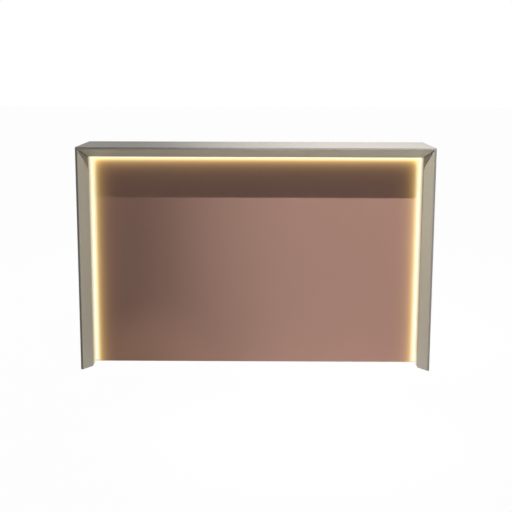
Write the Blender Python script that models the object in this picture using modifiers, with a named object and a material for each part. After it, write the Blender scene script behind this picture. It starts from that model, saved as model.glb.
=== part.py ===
"""Reception desk: a mitred portal with a bevelled, lit front and a staff desk behind it.

Metres, +Z up. The origin is on the floor under the middle of the desk. Visitors stand on the -Y side and
staff sit on the +Y side. Depths named d run back from the front edge of the portal.
"""

import math

import bmesh
import bpy
from mathutils import Matrix, Vector

# Overall size
WIDTH = 1.800
HEIGHT = 1.150
DEPTH = 0.800
FLOOR_GAP = 0.003

# Portal: two uprights and a counter top, built alike from boards with a bevelled front
PORTAL_DEPTH = 0.436
FRAME_T = 0.052
BOARD_T = 0.018
NOSE_T = 0.010
BEVEL_DEPTH = 0.062
FASCIA_T = 0.015
EDGE_ROUND = 0.0008

# Front panel and the cleats that carry it
PANEL_SETBACK = 0.162
PANEL_T = 0.018
PANEL_EDGE_GAP = 0.003
CLEAT_W = 0.030
CLEAT_T = 0.020
CLEAT_FLOOR_GAP = 0.090

# Corner light profile
LED_LEG = 0.018
LED_WALL = 0.0015
LED_SEAT = 0.0095
LED_TAPE_W = 0.008
LED_TAPE_T = 0.0014
LED_COVER_T = 0.0015
LED_COVER_STEPS = 10
LED_CAP_T = 0.002
LED_FLOOR_GAP = 0.012

# Staff desk
WORKTOP_Z = 0.740
WORKTOP_T = 0.025
GABLE_T = 0.025
GABLE_D = 0.240
GABLE_REAR_INSET = 0.010

# Cable tray under the worktop
TRAY_T = 0.0015
TRAY_FLANGE = 0.022
TRAY_FRONT_H = 0.080
TRAY_REAR_H = 0.045
TRAY_W = 0.100
TRAY_D = 0.262
TRAY_PARTITION_GAP = 0.050
TRAY_GABLE_GAP = 0.300

# Cable grommet in the worktop
GROMMET_X = 0.150
GROMMET_HOLE_R = 0.030
GROMMET_WALL = 0.0022
GROMMET_FLANGE_R = 0.040
GROMMET_FLANGE_T = 0.0025
GROMMET_SLEEVE = 0.022
GROMMET_LEDGE = 0.0025
CAP_T = 0.0043
CAP_SEAT = 0.0020
CAP_SLOT_W = 0.018
CAP_SLOT_L = 0.014
TURNED_STEPS = 32

# Drawer pedestal
BAY_W = 0.400
PARTITION_T = 0.018
PEDESTAL_Z = 0.080
PEDESTAL_BASE_T = 0.018
PEDESTAL_BACK_T = 0.008
PEDESTAL_BACK_INSET = 0.004
FRONT_INSET = 0.040
FRONT_T = 0.018
FRONT_GAP = 0.003
UPPER_FRONT_H = 0.200
BOX_BACK_GAP = 0.0097
BOX_WALL = 0.012
BOX_LIFT = 0.028
BOX_DROP = 0.030

# Drawer runners
RUNNER_SPACE = 0.0127
RUNNER_BACK_GAP = 0.030
RUNNER_H = 0.045
RUNNER_STEEL = 0.0012
RUNNER_RISE = 0.050

# Drawer handles
HANDLE_SPAN = 0.128
HANDLE_REACH = 0.026
HANDLE_R = 0.005
HANDLE_BEND = 0.012
HANDLE_BEND_STEPS = 5
HANDLE_DROP = 0.060

# Light driver with its power inlet and switch
DRIVER_L = 0.200
DRIVER_W = 0.045
DRIVER_H = 0.080
DRIVER_REAR_INSET = 0.090
DRIVER_Z = 0.450
INLET_W = 0.026
INLET_H = 0.052
INLET_BODY = 0.024
INLET_FLANGE = 0.003
INLET_FLANGE_T = 0.002
SOCKET_W = 0.016
SOCKET_H = 0.024
SOCKET_DEPTH = 0.015
SOCKET_CORNER = 0.005
SOCKET_FALL = 0.011
PIN_W = 0.002
PIN_H = 0.004
PIN_L = 0.009
PIN_ROOT = 0.001
PIN_PITCH = 0.007
PIN_RAISE = 0.004
ROCKER_W = 0.013
ROCKER_HALF = 0.008
ROCKER_DISH = 0.0015
ROCKER_TIP = 0.0035
ROCKER_BODY = 0.005
ROCKER_BODY_HALF = 0.0055
ROCKER_PIVOT = 0.0015
ROCKER_THROW = math.radians(20)
ROCKER_RISE = 0.0145
ROCKER_POCKET = 0.010

# Light lead from the driver to the right-hand light strip
LEAD_R = 0.002
LEAD_HOLE_R = 0.0025
LEAD_U = 0.0125
LEAD_Z = 0.050
LEAD_TIP = 0.0030
LEAD_DROP = 0.080
LEAD_JOG = 0.008
LEAD_BEND = 0.030
LEAD_BEND_STEPS = 6

# Levelling feet
FOOT_R = 0.016
FOOT_CHAMFER = 0.0008
FOOT_STEM_R = 0.004
FOOT_STEM_L = 0.035
FOOT_BORE_DEPTH = 0.042
FOOT_STEPS = 24
FOOT_FRONT_D = 0.115
FOOT_REAR_INSET = 0.025
GABLE_FOOT_INSET = 0.050

# Clearances
JOINT_GAP = 0.0003
SLIDE_GAP = 0.0004
TURN_GAP = 0.0003
CUT_PAST = 0.002
WELD = 1e-6

# Derived places
FRONT_Y = -DEPTH / 2
INNER_X = WIDTH / 2 - FRAME_T
SOFFIT_Z = HEIGHT - FRAME_T
BEVEL_SLOPE = BEVEL_DEPTH / (FRAME_T - NOSE_T)
FASCIA_RUN = FASCIA_T * math.hypot(1, BEVEL_SLOPE)
PANEL_BACK = PANEL_SETBACK + PANEL_T
CLEAT_BACK = PANEL_BACK + JOINT_GAP + CLEAT_T
WORKTOP_FRONT = CLEAT_BACK + JOINT_GAP
WORKTOP_UNDER = WORKTOP_Z - WORKTOP_T
GABLE_TOP = WORKTOP_UNDER - JOINT_GAP
GABLE_OUT_X = INNER_X - JOINT_GAP
GABLE_IN_X = GABLE_OUT_X - GABLE_T
GABLE_REAR = DEPTH - GABLE_REAR_INSET
BAY_LOW_X = -GABLE_IN_X
BAY_HIGH_X = BAY_LOW_X + BAY_W
PARTITION_OUT_X = BAY_HIGH_X + PARTITION_T
FRONT_FACE = DEPTH - FRONT_INSET
FRONT_BACK = FRONT_FACE - FRONT_T
BOX_REAR = FRONT_BACK - JOINT_GAP
BOX_FRONT = GABLE_D + PEDESTAL_BACK_INSET + PEDESTAL_BACK_T + BOX_BACK_GAP
FOOT_DISC_T = FLOOR_GAP - JOINT_GAP
CORE_LOW_U = BOARD_T + JOINT_GAP
CORE_HIGH_U = FRAME_T - BOARD_T - JOINT_GAP
CORE_MID_X = WIDTH / 2 - (CORE_LOW_U + CORE_HIGH_U) / 2
GROMMET_D = TRAY_D + TRAY_W / 2
DRIVER_D = GABLE_REAR - DRIVER_REAR_INSET - DRIVER_L

COLOURS = {
    "taupe_lacquer": ((0.36, 0.33, 0.27), 0.42, 0.0),
    "rose_bronze": ((0.38, 0.22, 0.17), 0.40, 0.3),
    "core_board": ((0.52, 0.40, 0.27), 0.80, 0.0),
    "aluminium": ((0.72, 0.72, 0.73), 0.35, 1.0),
    "opal_cover": ((0.95, 0.90, 0.75), 0.30, 0.0),
    "light_tape": ((0.90, 0.88, 0.70), 0.50, 0.0),
    "greige_oak": ((0.43, 0.36, 0.28), 0.55, 0.0),
    "drawer_board": ((0.70, 0.67, 0.62), 0.60, 0.0),
    "zinc_steel": ((0.62, 0.63, 0.65), 0.35, 1.0),
    "bronze_metal": ((0.30, 0.21, 0.16), 0.35, 1.0),
    "grey_steel": ((0.30, 0.29, 0.27), 0.50, 0.0),
    "black_plastic": ((0.03, 0.03, 0.03), 0.45, 0.0),
    "cable_sheath": ((0.75, 0.74, 0.72), 0.50, 0.0),
    "nylon": ((0.10, 0.10, 0.10), 0.55, 0.0),
}


# Scene helpers


def clear_scene():
    for obj in list(bpy.data.objects):
        bpy.data.objects.remove(obj, do_unlink=True)


def new_collection(name):
    collection = bpy.data.collections.new(name)
    bpy.context.scene.collection.children.link(collection)
    return collection


def make_material(name):
    rgb, roughness, metallic = COLOURS[name]
    material = bpy.data.materials.new(name)
    material.use_nodes = True
    shader = material.node_tree.nodes["Principled BSDF"]
    shader.inputs["Base Color"].default_value = (*rgb, 1.0)
    shader.inputs["Roughness"].default_value = roughness
    shader.inputs["Metallic"].default_value = metallic
    return material


def make_empty(name, location, parent=None):
    empty = bpy.data.objects.new(name, None)
    PARTS.objects.link(empty)
    empty.parent = parent
    empty.location = Vector(location) - (parent.matrix_world.translation if parent else Vector())
    bpy.context.view_layer.update()
    return empty


def add_part(name, mesh, material, location=(0, 0, 0), parent=None, rotation=(0, 0, 0)):
    """A named piece whose mesh is drawn about its own origin, which lies at location in the desk's frame."""
    parent = parent or ROOT
    part = bpy.data.objects.new(name, mesh)
    PARTS.objects.link(part)
    part.parent = parent
    part.location = Vector(location) - parent.matrix_world.translation
    part.rotation_euler = rotation
    mesh.materials.append(MATERIALS[material])
    bpy.context.view_layer.update()
    return part


def mesh_from(name, bm):
    bmesh.ops.recalc_face_normals(bm, faces=bm.faces[:])
    mesh = bpy.data.meshes.new(name)
    bm.to_mesh(mesh)
    bm.free()
    return mesh


def round_edges(part, width=EDGE_ROUND, segments=1):
    bevel = part.modifiers.new("edges", "BEVEL")
    bevel.width = width
    bevel.segments = segments
    bevel.limit_method = "ANGLE"
    bevel.angle_limit = math.radians(25)
    return part


def cut(part, cutter, operation="DIFFERENCE"):
    boolean = part.modifiers.new(cutter.name, "BOOLEAN")
    boolean.operation = operation
    boolean.solver = "EXACT"
    boolean.object = cutter
    return part


# Shape helpers


def cube_mesh(name, size):
    bm = bmesh.new()
    bmesh.ops.create_cube(bm, size=1.0)
    bmesh.ops.scale(bm, vec=Vector(size), verts=bm.verts[:])
    return mesh_from(name, bm)


def at(x, d, z):
    """A point in the desk's frame from its depth behind the portal's front edge."""
    return Vector((x, FRONT_Y + d, z))


def board(name, low, high, material, parent=None, edges=EDGE_ROUND):
    """A board between two opposite corners, each given as (x, d, z)."""
    low, high = at(*low), at(*high)
    part = add_part(name, cube_mesh(name, high - low), material, (low + high) / 2, parent)
    return round_edges(part, edges)


def helper_object(name, mesh, location):
    helper = bpy.data.objects.new(name, mesh)
    CUTTERS.objects.link(helper)
    helper.location = location
    helper.hide_render = True
    helper.display_type = "WIRE"
    bpy.context.view_layer.update()
    return helper


def box_cutter(name, low, high):
    low, high = at(*low), at(*high)
    return helper_object(name, cube_mesh(name, high - low), (low + high) / 2)


def round_cutter(name, centre, axis, radius, length, steps=TURNED_STEPS):
    bm = bmesh.new()
    bmesh.ops.create_cone(
        bm, cap_ends=True, segments=steps, radius1=radius, radius2=radius, depth=length
    )
    turn = Vector((0, 0, 1)).rotation_difference(Vector(axis)).to_matrix()
    bmesh.ops.rotate(bm, verts=bm.verts[:], cent=(0, 0, 0), matrix=turn)
    return helper_object(name, mesh_from(name, bm), centre)


def outline_curve(name, outline):
    """A filled flat curve through the outline's corners."""
    curve = bpy.data.curves.new(name, "CURVE")
    curve.dimensions = "2D"
    curve.fill_mode = "BOTH"
    spline = curve.splines.new("POLY")
    spline.points.add(len(outline) - 1)
    for point, (u, v) in zip(spline.points, outline):
        point.co = (u, v, 0, 1)
    spline.use_cyclic_u = True
    return curve


def solid_curve_mesh(name, curve):
    """The curve's solid as a mesh, with its caps welded on. The curve is removed."""
    source = bpy.data.objects.new(name, curve)
    CUTTERS.objects.link(source)
    graph = bpy.context.evaluated_depsgraph_get()
    mesh = bpy.data.meshes.new_from_object(source.evaluated_get(graph))
    bpy.data.objects.remove(source, do_unlink=True)
    bm = bmesh.new()
    bm.from_mesh(mesh)
    bmesh.ops.remove_doubles(bm, verts=bm.verts[:], dist=WELD)
    return bm


def prism(name, outline, start, end, frame):
    """The outline, drawn in (u, v), swept from start to end along w and carried into the desk's frame."""
    curve = outline_curve(name, outline)
    curve.extrude = (end - start) / 2
    bm = solid_curve_mesh(name, curve)
    bmesh.ops.translate(bm, verts=bm.verts[:], vec=(0, 0, (start + end) / 2))
    bmesh.ops.transform(bm, matrix=frame, verts=bm.verts[:])
    return bm


def axes(u, v, w, origin):
    """The matrix that carries (u, v, w) into the desk's frame."""
    turn = Matrix((u, v, w)).transposed().to_4x4()
    return Matrix.Translation(origin) @ turn


def trim(bm, point, normal):
    """Cuts off what lies past a plane, on the side its normal points to, and closes the cut."""
    geometry = bm.verts[:] + bm.edges[:] + bm.faces[:]
    bmesh.ops.bisect_plane(
        bm, geom=geometry, dist=WELD, plane_co=point, plane_no=normal, clear_outer=True
    )
    open_edges = [edge for edge in bm.edges if edge.is_boundary]
    bmesh.ops.holes_fill(bm, edges=open_edges, sides=0)


def centred_part(name, bm, material, parent=None):
    """A piece whose origin is the middle of its box."""
    corners = [[vert.co[axis] for vert in bm.verts] for axis in range(3)]
    middle = Vector([(min(values) + max(values)) / 2 for values in corners])
    bmesh.ops.translate(bm, verts=bm.verts[:], vec=-middle)
    return add_part(name, mesh_from(name, bm), material, middle, parent)


def turned_part(name, profile, material, location, steps=TURNED_STEPS, closed=False, parent=None):
    """A turned shape. The profile, in (radius, z), runs down its outer side from top to bottom."""
    bm = bmesh.new()
    verts = [bm.verts.new((radius, 0, z)) for radius, z in profile]
    pairs = list(zip(verts, verts[1:]))
    if closed:
        pairs.append((verts[-1], verts[0]))
    for pair in pairs:
        bm.edges.new(pair)
    mesh = bpy.data.meshes.new(name)
    bm.to_mesh(mesh)
    bm.free()
    part = add_part(name, mesh, material, location, parent)
    screw = part.modifiers.new("turn", "SCREW")
    screw.steps = steps
    screw.render_steps = steps
    screw.use_merge_vertices = True
    screw.merge_threshold = WELD
    screw.use_smooth_shade = True
    return part


def arc(centre, radius, first, last, steps):
    """Points along an arc in the (u, v) plane, angles in degrees."""
    angles = [math.radians(first + (last - first) * i / steps) for i in range(steps + 1)]
    return [(centre[0] + radius * math.cos(a), centre[1] + radius * math.sin(a)) for a in angles]


# Portal


def bevel_d(u, behind=0.0):
    """Depth of the bevelled front at a distance u in from the outer face."""
    return BEVEL_SLOPE * (u - NOSE_T) + behind


def outer_outline():
    return [
        (0, 0),
        (NOSE_T, 0),
        (BOARD_T, bevel_d(BOARD_T, FASCIA_RUN)),
        (BOARD_T, PORTAL_DEPTH),
        (0, PORTAL_DEPTH),
    ]


def fascia_outline():
    nose_u = NOSE_T + JOINT_GAP
    board_u = BOARD_T + JOINT_GAP
    return [
        (nose_u, bevel_d(nose_u)),
        (FRAME_T, bevel_d(FRAME_T)),
        (FRAME_T, bevel_d(FRAME_T, FASCIA_RUN)),
        (board_u, bevel_d(board_u, FASCIA_RUN)),
    ]


def inner_outline():
    back_u = FRAME_T - BOARD_T
    behind = FASCIA_RUN + JOINT_GAP * math.hypot(1, BEVEL_SLOPE)
    return [
        (back_u, bevel_d(back_u, behind)),
        (FRAME_T, bevel_d(FRAME_T, behind)),
        (FRAME_T, PORTAL_DEPTH),
        (back_u, PORTAL_DEPTH),
    ]


def core_outline():
    front = bevel_d(CORE_HIGH_U, FASCIA_RUN) + JOINT_GAP * math.hypot(1, BEVEL_SLOPE)
    return [
        (CORE_LOW_U, front),
        (CORE_HIGH_U, front),
        (CORE_HIGH_U, PORTAL_DEPTH),
        (CORE_LOW_U, PORTAL_DEPTH),
    ]


MEMBERS = {
    "outer": (outer_outline, "taupe_lacquer"),
    "fascia": (fascia_outline, "taupe_lacquer"),
    "inner": (inner_outline, "taupe_lacquer"),
    "core": (core_outline, "core_board"),
}


def upright_frame(side):
    """Carries u, in from the outer face, d and z into the desk's frame. side is -1 left, +1 right."""
    return axes((-side, 0, 0), (0, 1, 0), (0, 0, 1), (side * WIDTH / 2, FRONT_Y, 0))


def counter_frame():
    """Carries u, down from the counter's top, d and x into the desk's frame."""
    return axes((0, 0, -1), (0, 1, 0), (1, 0, 0), (0, FRONT_Y, HEIGHT))


def mitre_plane(side, keep_upright):
    """A point and normal of an upright's 45 degree joint with the counter, half a glue line to one side."""
    away = Vector((-side, 0, 1)).normalized()
    normal = away if keep_upright else -away
    return Vector((side * WIDTH / 2, FRONT_Y, HEIGHT)) - normal * JOINT_GAP / 2, normal


def mitred_upright(name, outline, side, material):
    bm = prism(name, outline, FLOOR_GAP, HEIGHT, upright_frame(side))
    trim(bm, *mitre_plane(side, keep_upright=True))
    return centred_part(name, bm, material)


def mitred_counter(name, outline, material):
    bm = prism(name, outline, -WIDTH / 2, WIDTH / 2, counter_frame())
    for side in (-1, 1):
        trim(bm, *mitre_plane(side, keep_upright=False))
    return centred_part(name, bm, material)


UPRIGHT_NAMES = {
    "outer": "outer_panel",
    "fascia": "bevel_fascia",
    "inner": "inner_panel",
    "core": "core_board",
}

COUNTER_NAMES = {
    "outer": "top_board",
    "fascia": "top_bevel_fascia",
    "inner": "top_soffit_board",
    "core": "top_core_board",
}


def make_upright(side, word):
    made = {}
    for key, (outline, material) in MEMBERS.items():
        part = mitred_upright(f"{word}_{UPRIGHT_NAMES[key]}", outline(), side, material)
        made[key] = round_edges(part)
    return made


def make_counter():
    for key, (outline, material) in MEMBERS.items():
        round_edges(mitred_counter(COUNTER_NAMES[key], outline(), material))


# Front panel


def make_front_panel():
    half = INNER_X - PANEL_EDGE_GAP
    panel = board(
        "front_panel",
        (-half, PANEL_SETBACK, FLOOR_GAP),
        (half, PANEL_BACK, SOFFIT_Z - PANEL_EDGE_GAP),
        "rose_bronze",
    )
    for side, word in ((-1, "left"), (1, "right")):
        wall = INNER_X - JOINT_GAP
        low_x, high_x = sorted((side * wall, side * (wall - CLEAT_W)))
        board(
            f"{word}_panel_cleat",
            (low_x, PANEL_BACK + JOINT_GAP, CLEAT_FLOOR_GAP),
            (high_x, CLEAT_BACK, SOFFIT_Z - JOINT_GAP),
            "core_board",
        )
    return panel


# Light strips


def profile_outline():
    leg, wall, seat, gap = LED_LEG, LED_WALL, LED_SEAT, JOINT_GAP
    return [
        (gap, gap),
        (leg, gap),
        (leg, wall),
        (seat, wall),
        (wall, seat),
        (wall, leg),
        (gap, leg),
    ]


def tape_outline():
    """A flat tape lying on the profile's 45 degree seat."""
    along = Vector((1, -1)).normalized() * LED_TAPE_W / 2
    out = Vector((1, 1)).normalized()
    middle = Vector((LED_SEAT + LED_WALL, LED_SEAT + LED_WALL)) / 2
    low = middle + out * JOINT_GAP
    high = low + out * LED_TAPE_T
    return [tuple(p) for p in (low - along, low + along, high + along, high - along)]


def cover_outline():
    """A quarter-round opal cover that springs between the tips of the two legs."""
    foot = LED_WALL + JOINT_GAP
    outside = LED_LEG - foot
    inside = outside - LED_COVER_T
    centre = (foot, foot)
    return arc(centre, outside, 0, 90, LED_COVER_STEPS) + arc(centre, inside, 90, 0, LED_COVER_STEPS)


def cap_outline():
    corner = (JOINT_GAP, JOINT_GAP)
    return [corner] + arc(corner, LED_LEG - JOINT_GAP, 0, 90, LED_COVER_STEPS)


def light_frame(side):
    """Carries u, out from an upright's inner face, v, forward from the panel, and z into the desk's frame."""
    return axes(
        (-side, 0, 0), (0, -1, 0), (0, 0, 1), (side * INNER_X, FRONT_Y + PANEL_SETBACK, 0)
    )


def top_light_frame():
    return axes((0, 0, -1), (0, -1, 0), (1, 0, 0), (0, FRONT_Y + PANEL_SETBACK, SOFFIT_Z))


LIGHT_LAYERS = {
    "profile": (profile_outline, "aluminium"),
    "strip": (tape_outline, "light_tape"),
    "diffuser": (cover_outline, "opal_cover"),
}


def make_lights():
    made = {}
    bottom = FLOOR_GAP + LED_FLOOR_GAP
    for side, word in ((-1, "left"), (1, "right")):
        for layer, (outline, material) in LIGHT_LAYERS.items():
            name = f"{word}_led_{layer}"
            bm = prism(name, outline(), bottom, SOFFIT_Z, light_frame(side))
            trim(bm, *mitre_plane(side, keep_upright=True))
            made[name] = centred_part(name, bm, material)
        cap_name = f"{word}_led_end_cap"
        cap_top = bottom - JOINT_GAP
        bm = prism(cap_name, cap_outline(), cap_top - LED_CAP_T, cap_top, light_frame(side))
        centred_part(cap_name, bm, "aluminium")
    for layer, (outline, material) in LIGHT_LAYERS.items():
        name = f"top_led_{layer}"
        bm = prism(name, outline(), -INNER_X, INNER_X, top_light_frame())
        for side in (-1, 1):
            trim(bm, *mitre_plane(side, keep_upright=False))
        made[name] = centred_part(name, bm, material)
    return made


# Staff desk


def make_desk():
    half = INNER_X - JOINT_GAP
    top = board(
        "worktop",
        (-half, WORKTOP_FRONT, WORKTOP_UNDER),
        (half, DEPTH, WORKTOP_Z),
        "greige_oak",
    )
    gables = {}
    for side, word in ((-1, "left"), (1, "right")):
        low_x, high_x = sorted((side * GABLE_IN_X, side * GABLE_OUT_X))
        gables[word] = board(
            f"{word}_gable",
            (low_x, GABLE_D, FLOOR_GAP),
            (high_x, GABLE_REAR, GABLE_TOP),
            "greige_oak",
        )
    return top, gables


def tray_outline():
    """A folded sheet: a fixing flange, the front wall, the floor and a lower rear wall, in (d, z)."""
    top = WORKTOP_UNDER - JOINT_GAP
    floor = top - TRAY_FRONT_H
    front, rear, sheet = TRAY_D, TRAY_D + TRAY_W, TRAY_T
    return [
        (front - TRAY_FLANGE, top),
        (front - TRAY_FLANGE, top - sheet),
        (front - sheet, top - sheet),
        (front - sheet, floor),
        (rear, floor),
        (rear, floor + TRAY_REAR_H),
        (rear - sheet, floor + TRAY_REAR_H),
        (rear - sheet, floor + sheet),
        (front, floor + sheet),
        (front, top),
    ]


def make_cable_tray():
    low = PARTITION_OUT_X + TRAY_PARTITION_GAP
    high = GABLE_IN_X - TRAY_GABLE_GAP
    frame = axes((0, 1, 0), (0, 0, 1), (1, 0, 0), (0, FRONT_Y, 0))
    centred_part("cable_tray", prism("cable_tray", tray_outline(), low, high, frame), "grey_steel")


def make_grommet(worktop):
    centre = at(GROMMET_X, GROMMET_D, WORKTOP_Z)
    reach = WORKTOP_T + 2 * CUT_PAST
    hole = round_cutter(
        "grommet_hole", centre - Vector((0, 0, WORKTOP_T / 2)), (0, 0, 1), GROMMET_HOLE_R, reach
    )
    cut(worktop, hole)
    outside = GROMMET_HOLE_R - JOINT_GAP
    inside = outside - GROMMET_WALL
    ledge = inside - GROMMET_LEDGE
    top = JOINT_GAP + GROMMET_FLANGE_T
    ring = [
        (inside, top),
        (GROMMET_FLANGE_R - GROMMET_FLANGE_T / 2, top),
        (GROMMET_FLANGE_R, JOINT_GAP + GROMMET_FLANGE_T / 2),
        (GROMMET_FLANGE_R, JOINT_GAP),
        (outside, JOINT_GAP),
        (outside, -GROMMET_SLEEVE),
        (ledge, -GROMMET_SLEEVE),
        (ledge, -CAP_SEAT),
        (inside, -CAP_SEAT),
    ]
    turned_part("grommet_ring", ring, "black_plastic", centre, closed=True)
    rim = inside - TURN_GAP
    low = JOINT_GAP - CAP_SEAT
    cap = [(0, low + CAP_T), (rim, low + CAP_T), (rim, low), (0, low)]
    lid = turned_part("grommet_cap", cap, "black_plastic", centre)
    slot = box_cutter(
        "cap_slot",
        (GROMMET_X - CAP_SLOT_W / 2, GROMMET_D + rim - CAP_SLOT_L, WORKTOP_Z - CAP_SEAT - CUT_PAST),
        (GROMMET_X + CAP_SLOT_W / 2, GROMMET_D + rim + CUT_PAST, WORKTOP_Z + CAP_T + CUT_PAST),
    )
    cut(lid, slot)


# Drawer pedestal


def make_pedestal():
    board(
        "pedestal_partition",
        (BAY_HIGH_X, GABLE_D, PEDESTAL_Z),
        (PARTITION_OUT_X, FRONT_FACE, GABLE_TOP),
        "greige_oak",
    )
    low_x, high_x = BAY_LOW_X + JOINT_GAP, BAY_HIGH_X - JOINT_GAP
    base_top = PEDESTAL_Z + PEDESTAL_BASE_T
    board(
        "pedestal_base",
        (low_x, GABLE_D, PEDESTAL_Z),
        (high_x, FRONT_BACK - JOINT_GAP, base_top),
        "greige_oak",
    )
    back = GABLE_D + PEDESTAL_BACK_INSET
    board(
        "pedestal_back",
        (low_x, back, base_top + JOINT_GAP),
        (high_x, back + PEDESTAL_BACK_T, GABLE_TOP),
        "drawer_board",
    )


def runner_outlines():
    """The two nested channels of a runner, in (s, z), with s running from the carcass to the drawer."""
    gap, steel = JOINT_GAP, RUNNER_STEEL
    half = RUNNER_H / 2
    web = RUNNER_SPACE - gap
    tip = web - steel - SLIDE_GAP
    fixed = [
        (gap, -half),
        (tip, -half),
        (tip, -half + steel),
        (gap + steel, -half + steel),
        (gap + steel, half - steel),
        (tip, half - steel),
        (tip, half),
        (gap, half),
    ]
    inner = half - steel - SLIDE_GAP
    back = gap + steel + SLIDE_GAP
    moving = [
        (web, -inner),
        (back, -inner),
        (back, -inner + steel),
        (web - steel, -inner + steel),
        (web - steel, inner - steel),
        (back, inner - steel),
        (back, inner),
        (web, inner),
    ]
    return {"rail": fixed, "slide": moving}


def handle_points():
    """A bent rod with rounded corners, from one foot to the other, in (x, y) about the middle of its feet."""
    half, reach, bend = HANDLE_SPAN / 2, HANDLE_REACH, HANDLE_BEND
    left = arc((-half + bend, reach - bend), bend, 180, 90, HANDLE_BEND_STEPS)
    right = arc((half - bend, reach - bend), bend, 90, 0, HANDLE_BEND_STEPS)
    return [(-half, JOINT_GAP)] + left + right + [(half, JOINT_GAP)]


def make_handle(name, location, parent):
    curve = bpy.data.curves.new(name, "CURVE")
    curve.dimensions = "3D"
    curve.bevel_depth = HANDLE_R
    curve.bevel_resolution = 2
    curve.use_fill_caps = True
    spline = curve.splines.new("POLY")
    points = handle_points()
    spline.points.add(len(points) - 1)
    for point, (x, y) in zip(spline.points, points):
        point.co = (x, y, 0, 1)
    return add_part(name, curve, "bronze_metal", location, parent)


def make_drawer_box(name, low, high, parent):
    """An open tray: five sheets of a box, thickened inwards."""
    low, high = at(*low), at(*high)
    bm = bmesh.new()
    bmesh.ops.create_cube(bm, size=1.0)
    bmesh.ops.scale(bm, vec=high - low, verts=bm.verts[:])
    lid = [face for face in bm.faces if face.normal.z > 0.5]
    bmesh.ops.delete(bm, geom=lid, context="FACES_ONLY")
    mesh = bpy.data.meshes.new(name)
    bm.to_mesh(mesh)
    bm.free()
    box = add_part(name, mesh, "drawer_board", (low + high) / 2, parent)
    walls = box.modifiers.new("walls", "SOLIDIFY")
    walls.thickness = BOX_WALL
    walls.offset = -1
    walls.use_even_offset = True
    return box


def make_drawer(word, bottom, top):
    """A drawer front between two heights, with its box, its handle and its pair of runners."""
    middle_x = (BAY_LOW_X + BAY_HIGH_X) / 2
    empty = make_empty(f"{word}_drawer", at(middle_x, FRONT_FACE, (bottom + top) / 2), ROOT)
    board(
        f"{word}_drawer_front",
        (BAY_LOW_X + FRONT_GAP, FRONT_BACK, bottom),
        (BAY_HIGH_X - FRONT_GAP, FRONT_FACE, top),
        "taupe_lacquer",
        empty,
    )
    box_low = bottom + BOX_LIFT
    make_drawer_box(
        f"{word}_drawer_box",
        (BAY_LOW_X + RUNNER_SPACE, BOX_FRONT, box_low),
        (BAY_HIGH_X - RUNNER_SPACE, BOX_REAR, top - BOX_DROP),
        empty,
    )
    make_handle(f"{word}_drawer_handle", at(middle_x, FRONT_FACE, top - HANDLE_DROP), empty)
    rail_z = box_low + RUNNER_RISE
    walls = {"left": (BAY_LOW_X, 1), "right": (BAY_HIGH_X, -1)}
    for side_word, (wall_x, inward) in walls.items():
        frame = axes((inward, 0, 0), (0, 0, 1), (0, 1, 0), (wall_x, FRONT_Y, rail_z))
        for layer, outline in runner_outlines().items():
            name = f"{word}_drawer_{side_word}_{layer}"
            bm = prism(name, outline, BOX_FRONT + RUNNER_BACK_GAP, BOX_REAR, frame)
            centred_part(name, bm, "zinc_steel", empty if layer == "slide" else None)


def make_drawers():
    top = WORKTOP_UNDER - FRONT_GAP
    split = top - UPPER_FRONT_H
    make_drawer("upper", split, top)
    make_drawer("lower", PEDESTAL_Z, split - FRONT_GAP)


# Power unit


def driver_box():
    """Low and high corners of the driver's case, as (x, d, z)."""
    high_x = GABLE_IN_X - JOINT_GAP
    low = (high_x - DRIVER_W, DRIVER_D, DRIVER_Z)
    high = (high_x, DRIVER_D + DRIVER_L, DRIVER_Z + DRIVER_H)
    return low, high


def socket_outline():
    """The inlet's mouth, with two cut corners, in (x, z)."""
    half_w, half_h, corner = SOCKET_W / 2, SOCKET_H / 2, SOCKET_CORNER
    return [
        (-half_w, -half_h),
        (half_w, -half_h),
        (half_w, half_h - corner),
        (half_w - corner, half_h),
        (-half_w + corner, half_h),
        (-half_w, half_h - corner),
    ]


def rocker_outline():
    """A dished rocker about its pivot, in (y, z)."""
    return [
        (-ROCKER_BODY, -ROCKER_BODY_HALF),
        (-ROCKER_BODY, ROCKER_BODY_HALF),
        (0, ROCKER_HALF),
        (ROCKER_TIP, ROCKER_HALF),
        (ROCKER_DISH, 0),
        (ROCKER_TIP, -ROCKER_HALF),
        (0, -ROCKER_HALF),
    ]


def make_power_unit():
    low, high = driver_box()
    case = board("led_driver", low, high, "grey_steel")
    rear = high[1]
    centre_x, centre_z = (low[0] + high[0]) / 2, (low[2] + high[2]) / 2
    half_w, half_h = INLET_W / 2 + JOINT_GAP, INLET_H / 2 + JOINT_GAP
    seat = box_cutter(
        "inlet_seat",
        (centre_x - half_w, rear - INLET_BODY - JOINT_GAP, centre_z - half_h),
        (centre_x + half_w, rear + CUT_PAST, centre_z + half_h),
    )
    cut(case, seat)
    make_inlet(centre_x, rear + JOINT_GAP, centre_z)
    return case


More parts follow.
